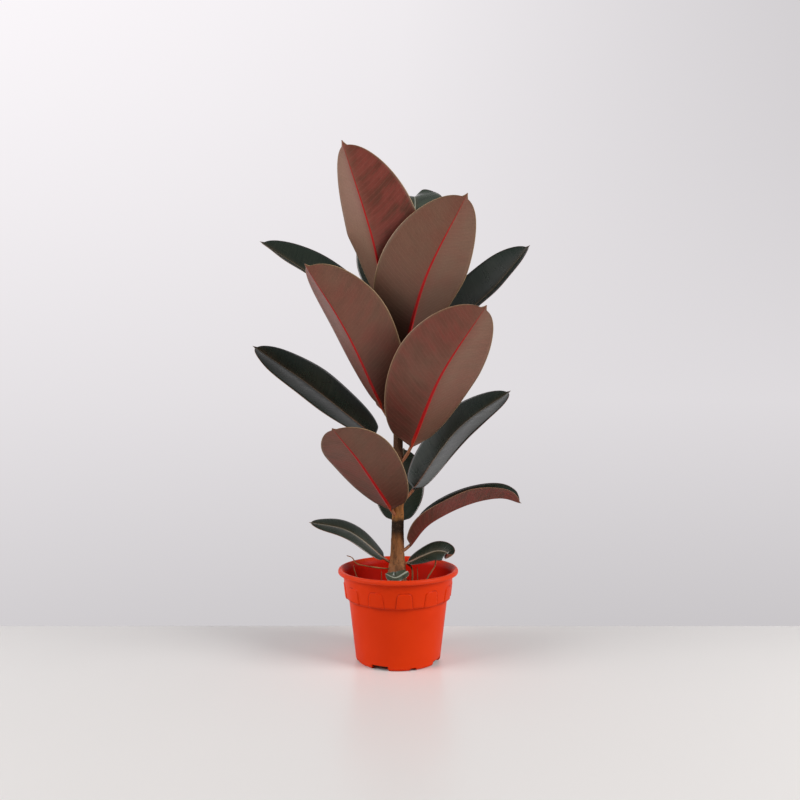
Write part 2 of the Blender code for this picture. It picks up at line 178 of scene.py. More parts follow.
class Finish:
    """A procedural material while its nodes are put together."""

    def __init__(self, name, **settings):
        self.material = bpy.data.materials.new(name)
        self.material.use_nodes = True
        self.tree = self.material.node_tree
        self.shader = self.tree.nodes["Principled BSDF"]
        for socket, value in settings.items():
            self.shader.inputs[socket.replace("_", " ")].default_value = value

    def node(self, kind, **settings):
        made = self.tree.nodes.new(kind)
        for name, value in settings.items():
            setattr(made, name, value)
        return made

    def put(self, socket, value):
        if isinstance(value, bpy.types.NodeSocket):
            self.tree.links.new(value, socket)
        else:
            socket.default_value = value

    def attribute(self, name):
        return self.node("ShaderNodeAttribute", attribute_name=name).outputs["Fac"]

    def place(self, stretch=(1, 1, 1)):
        """Object coordinates in metres, scaled."""
        mapping = self.node("ShaderNodeMapping")
        mapping.inputs["Scale"].default_value = stretch
        self.put(mapping.inputs["Vector"], self.node("ShaderNodeTexCoord").outputs["Object"])
        return mapping.outputs["Vector"]

    def height(self):
        """Height above the table in metres."""
        split = self.node("ShaderNodeSeparateXYZ")
        self.put(split.inputs[0], self.node("ShaderNodeTexCoord").outputs["Object"])
        return split.outputs["Z"]

    def vector(self, x, y, z=0.0):
        made = self.node("ShaderNodeCombineXYZ")
        for socket, value in zip(made.inputs, (x, y, z)):
            self.put(socket, value)
        return made.outputs[0]

    def noise(self, scale, detail=3.0, rough=0.55, at=None, distort=0.0):
        made = self.node("ShaderNodeTexNoise")
        made.inputs["Scale"].default_value = scale
        made.inputs["Detail"].default_value = detail
        made.inputs["Roughness"].default_value = rough
        made.inputs["Distortion"].default_value = distort
        self.put(made.inputs["Vector"], at or self.place())
        return made.outputs["Fac"]

    def math(self, operation, a, b=0.0, clamp=False):
        made = self.node("ShaderNodeMath", operation=operation, use_clamp=clamp)
        self.put(made.inputs[0], a)
        self.put(made.inputs[1], b)
        return made.outputs[0]

    def band(self, value, low, high, start=0.0, end=1.0):
        """Smooth change from start to end while value goes from low to high."""
        made = self.node("ShaderNodeMapRange", interpolation_type="SMOOTHSTEP")
        for name, number in (("Value", value), ("From Min", low), ("From Max", high),
                             ("To Min", start), ("To Max", end)):
            self.put(made.inputs[name], number)
        return made.outputs["Result"]

    def mix(self, factor, a, b, blend="MIX"):
        made = self.node("ShaderNodeMix", data_type="RGBA", blend_type=blend)
        self.put(made.inputs[0], factor)
        for socket, colour in ((made.inputs[6], a), (made.inputs[7], b)):
            self.put(socket, (*colour, 1.0) if isinstance(colour, tuple) else colour)
        return made.outputs[2]

    def ramp(self, value, stops):
        made = self.node("ShaderNodeValToRGB")
        self.put(made.inputs[0], value)
        steps = made.color_ramp.elements
        while len(steps) < len(stops):
            steps.new(0.5)
        for step, (place, colour) in zip(steps, stops):
            step.position = place
            step.color = (*colour, 1.0)
        return made.outputs["Color"]

    def bump(self, height, distance, strength=1.0, under=None):
        made = self.node("ShaderNodeBump")
        made.inputs["Strength"].default_value = strength
        made.inputs["Distance"].default_value = distance
        self.put(made.inputs["Height"], height)
        if under:
            self.put(made.inputs["Normal"], under)
        return made.outputs["Normal"]

    def done(self, colour, roughness=None, normal=None):
        self.put(self.shader.inputs["Base Color"], colour)
        if roughness is not None:
            self.put(self.shader.inputs["Roughness"], roughness)
        if normal is not None:
            self.put(self.shader.inputs["Normal"], normal)
        return self.material


def vein_lines(finish):
    """1 on each side vein and 0 between them."""
    phase = finish.math("FRACT", finish.attribute("vein"))
    away = finish.math("ABSOLUTE", finish.math("SUBTRACT", phase, 0.5))
    return finish.band(away, 0.36, 0.5)


def vein_streaks(finish, scale):
    """Noise drawn out along the side veins."""
    along = finish.math("MULTIPLY", finish.attribute("vein"), 0.55)
    across = finish.math("MULTIPLY", finish.attribute("side"), 0.035)
    return finish.noise(scale, 3.0, 0.6, finish.vector(along, across, finish.attribute("seed")))


def midrib_mask(finish, wide, narrow):
    """1 on the midrib, whose half width in mm goes from wide at the base to narrow at the tip."""
    edge = finish.band(finish.attribute("along"), 0.0, 1.0, wide, narrow)
    away = finish.math("SUBTRACT", finish.attribute("rib"), edge)
    return finish.band(away, -0.25, 0.35, 1.0, 0.0)


def leaf_under_material():
    finish = Finish("leaf_under", Roughness=0.42, Specular_IOR_Level=0.22)
    big = finish.noise(16, 2.0, 0.5)
    fine = finish.noise(420, 3.0, 0.6)
    streaks = vein_streaks(finish, 1.0)
    spread = finish.math("MULTIPLY", finish.math("SUBTRACT", big, 0.5), 1.5)
    depth = finish.math("ADD", finish.math("MULTIPLY", finish.attribute("red"), 1.9), 0.15)
    streak = finish.math("MULTIPLY", finish.math("SUBTRACT", streaks, 0.5), depth)
    redness = finish.math("ADD", finish.attribute("red"), finish.math("ADD", spread, streak), True)
    colour = finish.mix(redness, (0.186, 0.100, 0.066), (0.200, 0.046, 0.034))
    dim = finish.math("MULTIPLY", finish.band(streaks, 0.30, 0.62, 0.75, 0.0), finish.attribute("red"))
    colour = finish.mix(dim, colour, (0.075, 0.026, 0.015))
    # Painted light on the underside half that faces a side lamp.
    colour = finish.mix(finish.attribute("lit_half"), colour, (0.33, 0.20, 0.14))
    # Painted shade, darkest at the blade's base where the leaves crowd round the stem.
    deep = finish.band(finish.attribute("along"), 0.0, 0.5, 1.0, 0.0)
    deep = finish.math("MULTIPLY", deep, finish.attribute("deep"))
    colour = finish.mix(deep, colour, (0.050, 0.016, 0.009))
    near = finish.band(finish.attribute("rib"), 0.0, 22.0, 0.30, 0.0)
    colour = finish.mix(near, colour, (0.190, 0.052, 0.034))
    veins = vein_lines(finish)
    colour = finish.mix(finish.math("MULTIPLY", veins, 0.12), colour, (0.30, 0.15, 0.10))
    colour = finish.mix(finish.band(fine, 0.35, 0.75, 0.0, 0.15), colour, (0.10, 0.045, 0.03))
    rim = finish.attribute("rim")
    colour = finish.mix(finish.band(rim, 0.5, 4.0, 0.5, 0.0), colour, (0.105, 0.075, 0.036))
    colour = finish.mix(finish.band(rim, 0.15, 1.1, 0.75, 0.0), colour, (0.42, 0.27, 0.15))
    rib = midrib_mask(finish, 2.9, 0.6)
    fade = finish.band(finish.attribute("along"), 0.86, 1.0, 1.0, 0.35)
    rib_colour = finish.ramp(finish.attribute("along"), (
        (0.0, (0.42, 0.060, 0.022)), (0.12, (0.44, 0.008, 0.008)), (0.75, (0.38, 0.006, 0.008)),
        (1.0, (0.24, 0.04, 0.028))))
    shown = finish.math("MULTIPLY", finish.math("MULTIPLY", rib, fade), finish.attribute("keen"))
    colour = finish.mix(shown, colour, rib_colour)
    height = finish.math("ADD", finish.math("MULTIPLY", veins, 0.45),
                         finish.math("MULTIPLY", streaks, 0.9))
    normal = finish.bump(height, 0.35 * MM, 0.55)
    normal = finish.bump(fine, 0.10 * MM, 0.5, normal)
    return finish.done(colour, finish.band(fine, 0.2, 0.8, 0.36, 0.50), normal)


def leaf_upper_material():
    finish = Finish("leaf_upper", Roughness=0.28, Specular_IOR_Level=0.55, Coat_Weight=0.2,
                    Coat_Roughness=0.16)
    big = finish.noise(22, 2.0, 0.5)
    streaks = vein_streaks(finish, 1.3)
    veins = vein_lines(finish)
    colour = finish.mix(finish.band(big, 0.35, 0.7), (0.0060, 0.015, 0.0095), (0.014, 0.020, 0.0125))
    colour = finish.mix(finish.band(streaks, 0.45, 0.8, 0.0, 0.4), colour, (0.020, 0.026, 0.017))
    colour = finish.mix(finish.math("MULTIPLY", veins, 0.15), colour, (0.040, 0.050, 0.032))
    # Pale grey streaks: the paler colour of young leaves, and on leaf_15_back a painted sheen.
    young_and_sheen = finish.attribute("young_and_sheen")
    pale = finish.math("MULTIPLY", young_and_sheen, finish.band(streaks, 0.25, 0.7, 0.35, 0.95))
    colour = finish.mix(pale, colour, (0.085, 0.115, 0.078))
    rib_near = finish.band(finish.attribute("rib"), 0.5, 7.0, 0.5, 0.0)
    colour = finish.mix(rib_near, colour, (0.050, 0.040, 0.022))
    rib = midrib_mask(finish, 1.25, 0.35)
    colour = finish.mix(rib, colour, finish.ramp(finish.attribute("along"), (
        (0.0, (0.28, 0.10, 0.06)), (0.3, (0.20, 0.15, 0.10)), (1.0, (0.15, 0.11, 0.07)))))
    pale_rib = finish.math("MULTIPLY", rib, finish.band(young_and_sheen, 0.0, 0.3))
    colour = finish.mix(pale_rib, colour, (0.30, 0.33, 0.27))
    rim = finish.attribute("rim")
    colour = finish.mix(finish.band(rim, 0.15, 0.9, 0.85, 0.0), colour, (0.17, 0.045, 0.035))
    height = finish.math("SUBTRACT", finish.math("MULTIPLY", streaks, 1.2),
                         finish.math("MULTIPLY", veins, 0.5))
    normal = finish.bump(height, 0.22 * MM, 0.4)
    return finish.done(colour, finish.band(streaks, 0.3, 0.7, 0.26, 0.34), normal)


def leaf_stalk_material():
    finish = Finish("leaf_stalk", Roughness=0.42, Specular_IOR_Level=0.4)
    colour = finish.ramp(finish.noise(60, 3.0), (
        (0.25, (0.26, 0.065, 0.030)), (0.5, (0.36, 0.13, 0.06)), (0.8, (0.42, 0.21, 0.11))))
    flecks = finish.noise(500, 2.0)
    colour = finish.mix(finish.band(flecks, 0.55, 0.75, 0.0, 0.6), colour, (0.13, 0.045, 0.025))
    return finish.done(colour, None, finish.bump(flecks, 0.2 * MM, 0.5))


def pot_material():
    finish = Finish("pot_plastic", Roughness=0.40, Specular_IOR_Level=0.10)
    cloud = finish.noise(14, 3.0, 0.5)
    grain = finish.noise(900, 2.0, 0.6)
    scuffs = finish.noise(40, 6.0, 0.75, finish.place((1, 1, 0.12)), 0.4)
    dust = finish.noise(160, 5.0, 0.7)
    colour = finish.mix(finish.band(cloud, 0.35, 0.7), (0.68, 0.034, 0.0006), (0.72, 0.040, 0.0010))
    colour = finish.mix(finish.band(scuffs, 0.60, 0.82, 0.0, 0.25), colour, (0.68, 0.055, 0.012))
    colour = finish.mix(finish.band(dust, 0.62, 0.85, 0.0, 0.30), colour, (0.52, 0.055, 0.018))
    # Painted highlight: a paler orange on the rounded rim bead.
    seen = finish.attribute("bead")
    colour = finish.mix(finish.math("MULTIPLY", seen, 0.35), colour, (0.70, 0.055, 0.018))
    # Painted glow of light through the thin wall on the pot's inner side, darker as painted shade inside the
    # pot.
    colour = finish.mix(finish.math("MULTIPLY", finish.attribute("inside"), 0.9), colour,
                        (0.60, 0.006, 0.001))
    # Painted shade along the tabs' edges and under the collar's step.
    colour = finish.mix(finish.math("MULTIPLY", finish.attribute("line"), 0.58), colour,
                        (0.25, 0.006, 0.001))
    normal = finish.bump(grain, 0.05 * MM, 0.35)
    normal = finish.bump(cloud, 1.2 * MM, 0.25, normal)
    return finish.done(colour, finish.band(scuffs, 0.3, 0.8, 0.36, 0.50), normal)


def bark_material():
    finish = Finish("bark", Roughness=0.78, Specular_IOR_Level=0.12)
    wander = finish.math("SUBTRACT", finish.noise(60, 3.0), 0.5)
    rows = finish.math("ADD", finish.height(), finish.math("MULTIPLY", wander, 0.012))
    share = finish.math("DIVIDE", rows, STEM_HEIGHT)
    tall = STEM_HEIGHT / MM
    colour = finish.ramp(share, [(height / tall, tint) for height, tint in (
        (0, (0.05, 0.02, 0.012)), (112, (0.30, 0.14, 0.07)), (126, (0.34, 0.155, 0.065)),
        (158, (0.24, 0.095, 0.032)), (169, (0.018, 0.010, 0.006)), (182, (0.022, 0.012, 0.007)),
        (188, (0.36, 0.15, 0.045)), (206, (0.30, 0.11, 0.034)), (216, (0.10, 0.045, 0.022)),
        (300, (0.085, 0.036, 0.020)), (400, (0.12, 0.045, 0.024)), (tall, (0.16, 0.05, 0.026)))])
    furrow = finish.noise(34, 5.0, 0.65, finish.place((5, 5, 0.9)))
    speck = finish.noise(420, 4.0, 0.7)
    colour = finish.mix(finish.band(furrow, 0.38, 0.56, 0.55, 0.0), colour, (0.045, 0.022, 0.012))
    colour = finish.mix(finish.band(speck, 0.52, 0.72, 0.0, 0.28), colour, (0.36, 0.21, 0.12))
    colour = finish.mix(finish.band(finish.noise(260, 2.0), 0.6, 0.7, 0.0, 0.55), colour,
                        (0.035, 0.018, 0.010))
    normal = finish.bump(furrow, 1.3 * MM, 0.8)
    normal = finish.bump(speck, 0.4 * MM, 0.7, normal)
    return finish.done(colour, None, normal)


def soil_material():
    finish = Finish("potting_mix", Roughness=0.93, Specular_IOR_Level=0.15)
    clumps = finish.noise(120, 6.0, 0.7)
    grit = finish.noise(700, 4.0, 0.7)
    colour = finish.ramp(clumps, (
        (0.30, (0.008, 0.005, 0.003)), (0.50, (0.030, 0.016, 0.010)), (0.72, (0.070, 0.038, 0.022))))
    colour = finish.mix(finish.band(grit, 0.62, 0.74, 0.0, 0.7), colour, (0.16, 0.10, 0.065))
    normal = finish.bump(grit, 0.9 * MM, 0.9, finish.bump(clumps, 2.5 * MM, 0.9))
    return finish.done(colour, None, normal)


def root_material():
    finish = Finish("root_bark", Roughness=0.72, Specular_IOR_Level=0.3)
    patches = finish.noise(90, 4.0, 0.6)
    colour = finish.ramp(patches, (
        (0.30, (0.10, 0.028, 0.010)), (0.46, (0.30, 0.12, 0.035)), (0.75, (0.46, 0.25, 0.10))))
    low = finish.band(finish.height(), 112 * MM, 126 * MM, 0.65, 0.0)
    colour = finish.mix(low, colour, (0.085, 0.026, 0.010))
    return finish.done(colour, None, finish.bump(finish.noise(520, 3.0), 0.5 * MM, 0.8))


def bud_material():
    finish = Finish("bud_sheath", Roughness=0.36, Specular_IOR_Level=0.5)
    lines = finish.noise(30, 4.0, 0.6, finish.place((7, 7, 0.5)))
    colour = finish.ramp(lines, (
        (0.30, (0.20, 0.012, 0.014)), (0.55, (0.34, 0.028, 0.024)), (0.8, (0.42, 0.075, 0.045))))
    return finish.done(colour, None, finish.bump(lines, 0.5 * MM, 0.6))


def table_material():
    finish = Finish("table", Roughness=0.30, Specular_IOR_Level=0.24)
    cloud = finish.noise(3.0, 2.0)
    return finish.done(finish.mix(cloud, (0.80, 0.79, 0.785), (0.83, 0.815, 0.81)))


# Meshes ------------------------------------------------------------------------------------


def skin(name, rings, materials, caps=True, facts=None, face_materials=None):
    """One closed body through equal rings of points.

    facts holds one number per point, and face_materials one material's place per side face."""
    rings = np.asarray(rings, float)
    count, size = rings.shape[:2]
    ring, column = np.meshgrid(np.arange(count - 1), np.arange(size), indexing="ij")
    after = (column + 1) % size
    faces = np.stack((ring * size + column, ring * size + after,
                      (ring + 1) * size + after, (ring + 1) * size + column), -1).reshape(-1, 4)
    faces = [tuple(face) for face in faces.tolist()]
    if caps:
        faces.append(tuple(range(size - 1, -1, -1)))
        faces.append(tuple(range((count - 1) * size, count * size)))
    mesh = bpy.data.meshes.new(name)
    mesh.from_pydata(rings.reshape(-1, 3).tolist(), [], faces)
    if face_materials is not None:
        chosen = list(np.asarray(face_materials).reshape(-1)) + [0] * (2 if caps else 0)
        mesh.polygons.foreach_set("material_index", np.array(chosen, np.int32))
    bm = bmesh.new()
    bm.from_mesh(mesh)
    bmesh.ops.recalc_face_normals(bm, faces=bm.faces)
    bm.to_mesh(mesh)
    bm.free()
    for key, values in (facts or {}).items():
        layer = mesh.attributes.new(key, "FLOAT", "POINT")
        layer.data.foreach_set("value", np.asarray(values, np.float32).reshape(-1))
    mesh.shade_smooth()
    made = bpy.data.objects.new(name, mesh)
    bpy.context.scene.collection.objects.link(made)
    for material in materials:
        mesh.materials.append(material)
    return made


def stand_for(piece, node):
    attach(piece, "root")
    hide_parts(node)
    return piece


def curve_point(points, place):
    """The point at `place` (0 at the first point, 1 at the second...) of a smooth curve."""
    held = [2 * points[0] - points[1], *points, 2 * points[-1] - points[-2]]
    i = min(int(place), len(points) - 2)
    t = place - i
    a, b, c, d = held[i : i + 4]
    return 0.5 * (
        2 * b
        + (c - a) * t
        + (2 * a - 5 * b + 4 * c - d) * t**2
        + (3 * b - 3 * c + d - a) * t**3
    )


def tangents(path):
    ends = [path[0], *path, path[-1]]
    return [(ends[i + 2] - ends[i]).normalized() for i in range(len(path))]


def smooth(value, low, high):
    t = np.clip((value - low) / (high - low), 0, 1)
    return t * t * (3 - 2 * t)


# Stem --------------------------------------------------------------------------------------


def stem_centre(height):
    share = max(0, 1 - height / (0.45 * STEM_HEIGHT))
    return Vector((-3.2 * MM * share, 0, height))


def stem_radius(height):
    middle = STEM_WIDTH / 2
    base = POT_HEIGHT - FLARE_DROP
    if height < base + FLARE_HEIGHT:
        share = min(1, (base + FLARE_HEIGHT - height) / FLARE_HEIGHT)
        return middle + (STEM_FLARE_WIDTH - STEM_WIDTH) / 2 * share**2
    share = (height - base - FLARE_HEIGHT) / (STEM_HEIGHT - base - FLARE_HEIGHT)
    return middle + (STEM_TOP_WIDTH / 2 - middle) * min(1, share) ** 0.8


# Height and direction (radians) of the scars that dropped leaves left.
OLD_SCARS = [(108 * MM, 2.0), (131 * MM, -2.4), (148 * MM, -0.9), (158 * MM, 2.6), (176 * MM, -1.9),
             (196 * MM, 1.2), (228 * MM, -2.8), (240 * MM, 0.4)]
STEM_ROWS, STEM_SEGMENTS = 330, 72
WORN_BARK_TOP = 215 * MM


def scar_swelling(scars, height, angle):
    """How far the scars push the bark out, in half millimetres, with a groove over each."""
    swell = 0.0
    for at, compass in scars:
        near = math.exp(-(((height - at + 1.5 * MM) / (3.2 * MM)) ** 2))
        facing_it = 0.35 + 0.65 * max(0, math.cos(angle - compass)) ** 2
        groove = math.exp(-(((height - at - 2.6 * MM) / (0.9 * MM)) ** 2))
        swell += (0.7 * near - 0.35 * groove) * facing_it
    return swell


def bark_reach(scars, height, angle):
    """How far the bark is from the stem's centre line."""
    x, y = math.cos(angle), math.sin(angle)
    swell = scar_swelling(scars, height, angle)
    rough = noise.noise(Vector((x * 2.4, y * 2.4, height * 45)))
    ridge = noise.noise(Vector((x * 6.5, y * 6.5, height * 26 + 9)))
    worn = 1 if height < WORN_BARK_TOP else 0.5
    return stem_radius(height) + MM * (0.5 * swell + worn * (0.45 * rough + 0.40 * ridge))


def add_stem():
    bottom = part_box("stem")[0].z + 1 * MM
    scars = [(leaf[0] * MM, math.atan2(leaf[1][0][1], leaf[1][0][0])) for leaf in LEAVES.values()]
    scars += OLD_SCARS
    rings = []
    for row in range(STEM_ROWS):
        height = bottom + (STEM_HEIGHT - bottom) * row / (STEM_ROWS - 1)
        centre = stem_centre(height)
        ring = []
        for column in range(STEM_SEGMENTS):
            angle = 2 * math.pi * column / STEM_SEGMENTS
            reach = bark_reach(scars, height, angle)
            ring.append((centre.x + reach * math.cos(angle), centre.y + reach * math.sin(angle), height))
        rings.append(ring)
    top = Vector(np.mean(rings[-1], axis=0))
    for ring, share in ((rings[-1], 0.7), (rings[-2], 0.3)):
        rings.append([tuple(top + (Vector(point) - top) * share) for point in ring])
    stand_for(skin("stem_bark", rings, [bark_material()]), "stem")


def add_bud():
    widths = ((0, 0.8), (0.08, 1.1), (0.3, 1.15), (0.55, 0.85), (0.8, 0.45), (1, 0.08))
    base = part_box("terminal_bud")[0].z
    start = stem_centre(0.9 * STEM_HEIGHT)
    shares = np.linspace(0, 1, 60)
    sizes = np.interp(shares, [w[0] for w in widths], [w[1] for w in widths])
    sizes = np.convolve(np.pad(sizes, 3, "edge"), np.ones(7) / 7, "valid")
    rings = []
    for share, size in zip(shares, sizes):
        ring = []
        for column in range(36):
            angle = 2 * math.pi * column / 36
            turn = (angle / (2 * math.pi) + 0.35 * share) % 1.0
            lap = 1 + 0.10 * max(0, 1 - abs(turn - 0.5) / 0.06)
            reach = STEM_TOP_WIDTH / 2 * size * lap
            ring.append((start.x + 3 * MM * share**2 + reach * math.cos(angle),
                         start.y + reach * math.sin(angle), base + BUD_LENGTH * share))
        rings.append(ring)
    stand_for(skin("bud_sheath_look", rings, [bud_material()]), "terminal_bud")


# Leaves ------------------------------------------------------------------------------------


def facing(compass, rise):
    c, r = math.radians(compass), math.radians(rise)
    return Vector((math.cos(c) * math.cos(r), math.sin(c) * math.cos(r), math.sin(r)))


def outline(share):
    """Half width of the blade at a share of its length, as a share of its greatest half width."""
    body = min(share / OVAL_END, 1)
    power = 0.47 if body < 0.5 else 0.50
    oval = math.sin(math.pi * body) ** power if body < 1 else 0
    point = 0.012 + 0.13 * (max(1 - share, 0) / TIP_SHARE) ** 1.4
    return max(oval, min(point, 0.15) * min(1, share * 20))


def leaf_places():
    """Places along a leaf: -1 to 0 on the stalk, 0 to 1 on the blade, closest at the blade's ends."""
    stalk = [i / STALK_ROWS - 1 for i in range(STALK_ROWS)]
    base = np.linspace(0, 0.12, 12, endpoint=False)
    middle = np.linspace(0.12, 0.84, 46, endpoint=False)
    tip = np.linspace(0.84, 1.0, 36)
    return stalk + [*base, *middle, *tip]


def wave_sum(waves, place):
    return sum(height * math.sin(count * 6.28 * place + start) for count, start, height in waves)


def both_sides(row):
    """Values across the upper side and back across the underside."""
    return np.concatenate((row, row[::-1]))


class Blade:
    """Sections of one leaf. t and u go from -1 at its left margin to 1 at its right one, and u has
    its points closer together at the midrib."""

    def __init__(self, name, width, fold, seed):
        self.name, self.width, self.fold, self.seed = name, width, fold, seed
        self.small = min(1, width / (60 * MM))
        self.petiole = PETIOLE / 2 * (0.45 + 0.55 * self.small)
        self.t = np.linspace(-1, 1, BLADE_COLUMNS)
        self.u = self.t * (0.22 + 0.78 * np.abs(self.t) ** 1.15)
        soft = 0.045  # how round the fold is at the midrib
        self.bend = (np.sqrt(self.u**2 + soft**2) - soft) / (math.sqrt(1 + soft**2) - soft)
        chance = random.Random(seed)
        waves = [(chance.uniform(1.6, 3.4), chance.uniform(0, 6.28), chance.uniform(0.3, 0.8))
                 for _ in range(4)]
        self.left_waves, self.right_waves = waves[:2], waves[2:]

    def half(self, place):
        return max(self.width / 2 * outline(place), LEAST_HALF_WIDTH)

    def ripple(self, place, half):
        """Waves that grow towards the margins."""
        waves = np.where(self.u < 0, wave_sum(self.left_waves, place), wave_sum(self.right_waves, place))
        times = WAVES.get(self.name, 1)
        return (WAVE_HEIGHT * times * self.small * waves * np.abs(self.u) ** 1.6
                * min(1, half / (20 * MM)))

    def quilt(self, place, half, length):
        """Low swellings between the veins of a large leaf."""
        if self.small <= 0.5:
            return 0.0
        return QUILT_HEIGHT * np.array([
            noise.noise(Vector((place * length * 26, value * half * 34, self.seed * 0.37)))
            for value in self.u])

    def middle_layer(self, place, half, length):
        """How far right of the midrib and how high over it the blade is, thickness left out."""
        angle = math.radians(self.fold) * min(1, place / 0.04)
        rise = (self.bend * half * math.sin(angle) - RECURVE * half * self.u**2
                + self.ripple(place, half) + self.quilt(place, half, length))
        lift = LEFT_LIFTS.get(self.name, 0) * MM * self.u**2 * min(1, half / (15 * MM))
        return self.u * half * math.cos(angle), rise + np.where(self.u < 0, lift, 0)

    def section(self, share, length):
        """Points (to the right, up) round the leaf: the upper side, then back along the underside."""
        place = max(share, 0)
        half = self.half(place)
        from_rib = np.abs(self.u) * half / MM
        reach, rise = self.middle_layer(place, half, length)
        thickness = MARGIN + (BLADE - MARGIN) * (1 - np.abs(self.u) ** 1.5)
        thickness *= min(1, half / (4 * MM))
        rib_width = 0.7 + 1.5 * (1 - place)
        rib = RIB * self.small * (1 - place) ** 0.8 * np.exp(-((from_rib / rib_width) ** 2))
        groove = GROOVE_DEPTH * self.small * (1 - 0.6 * place) * np.exp(-((from_rib / 1.3) ** 2))
        top_blade = np.stack((reach, rise + thickness / 2 - groove), -1)
        low_blade = np.stack((reach, rise - thickness / 2 - rib), -1)
        round_part = np.sqrt(np.clip(1 - self.t**2, 0, 1))
        top_stalk = self.petiole * np.stack((self.t, round_part), -1)
        low_stalk = self.petiole * np.stack((self.t, -round_part), -1)
        blend = float(smooth(np.array(place), 0, 0.06))
        return np.concatenate((top_stalk + (top_blade - top_stalk) * blend,
                               (low_stalk + (low_blade - low_stalk) * blend)[::-1]))

    def facts(self, share, length):
        """What the materials need to know of each point of a section. Distances are in millimetres."""
        place = max(share, 0)
        half = self.half(place)
        from_rib = np.abs(self.u) * half / MM
        from_rim = (1 - np.abs(self.u)) * half / MM if share >= 0 else np.full(BLADE_COLUMNS, 9.0)
        vein = (place * length / MM - 0.34 * from_rib - 0.0022 * from_rib**2) / VEIN_SPACING
        rows = {"along": np.full(BLADE_COLUMNS, share), "rib": from_rib, "rim": from_rim,
                "vein": vein, "side": self.u * half / MM}
        return {key: both_sides(row) for key, row in rows.items()}


def tint_facts(name, red, seed, side):
    """The leaf's tints, with the painted shade at its base and the painted light on one half, one number per
    point.
    """
    tint, lean = red
    depth, more = BASE_SHADES.get(name, USUAL_BASE_SHADE)
    pale = LIT_HALVES.get(name, 0)
    to_right = np.tanh(side / 6)
    return {
        "red": np.clip(tint + lean * np.tanh(side / 4), 0, 1),
        "seed": np.full(side.shape, seed * 0.173),
        "deep": np.clip(depth * (1 + more * to_right), 0, 1),
        "lit_half": abs(pale) * (1 + np.sign(pale) * to_right) / 2,
        "keen": np.full(side.shape, RIB_REDS.get(name, 1)),
        "young_and_sheen": np.full(side.shape, YOUNG_AND_SHEEN.get(name, 0)),
    }


def add_leaf(name, values, materials):
    height, midrib, faces_to, width, fold, twist, red = values
    seed = sum(ord(letter) * (i + 3) for i, letter in enumerate(name))
    leaf = Blade(name, width * MM, fold, seed)
    points = [stem_centre(height * MM)] + [Vector(point) * MM for point in midrib]
    spans = len(midrib) - 1
    places = leaf_places()
    path = [curve_point(points, 1 + (place if place < 0 else place * spans)) for place in places]
    length = sum((b - a).length for a, b in zip(path[STALK_ROWS:], path[STALK_ROWS + 1 :]))
    upper = facing(*faces_to)
    rings, rows = [], []
    for place, centre, tangent in zip(places, path, tangents(path)):
        side = tangent.cross(upper).normalized()
        up = side.cross(tangent)
        if place > 0 and twist:
            turn = Matrix.Rotation(math.radians(twist) * place, 3, tangent)
            side, up = turn @ side, turn @ up
        flat = leaf.section(place, length)
        rings.append(np.array(centre) + flat[:, :1] * np.array(side) + flat[:, 1:] * np.array(up))
        rows.append(leaf.facts(place, length))
    facts = {key: np.array([row[key] for row in rows]) for key in rows[0]}
    facts.update(tint_facts(name, red, seed, facts["side"]))
    chosen = np.full((len(places) - 1, 2 * BLADE_COLUMNS), UPPER)
    chosen[:, BLADE_COLUMNS:] = UNDER
    chosen[:STALK_ROWS] = STALK
    if name == CURLED_LEAF:
        chosen[np.array(places[:-1]) > CURL_START, : BLADE_COLUMNS - 1] = UNDER
    stand_for(skin(name + "_look", rings, materials, True, facts, chosen), name)


# Pot ---------------------------------------------------------------------------------------


def outer_radius(height):
    top = RIM_DIAMETER / 2 - BEAD_LIP - COLLAR_STEP
    base = BASE_DIAMETER / 2
    return base + (top - base) * height / POT_HEIGHT


def collar_radius(height):
    return outer_radius(height) + COLLAR_STEP


def filled(points, step):
    """The same polyline with extra points, so that no span is longer than step."""
    out = [points[0]]
    for a, b in zip(points, points[1:]):
        pieces = max(1, math.ceil(math.dist(a, b) / step))
        out += [(a[0] + (b[0] - a[0]) * i / pieces, a[1] + (b[1] - a[1]) * i / pieces)
                for i in range(1, pieces + 1)]
    return out


def wedge_points(inner, outer, low, high, middle, width, slope):
    """Corners of a piece of a ring: six below, and six above that are slope degrees less wide each side."""
    corners = []
    for height, shrink in ((low, 0), (high, slope)):
        half = math.radians(width / 2 - shrink)
        for radius, sides in ((inner, (-1, 0, 1)), (outer, (1, 0, -1))):
            for side in sides:
                angle = math.radians(middle) + side * half
                corners.append((radius * math.cos(angle), radius * math.sin(angle), height))
    return corners


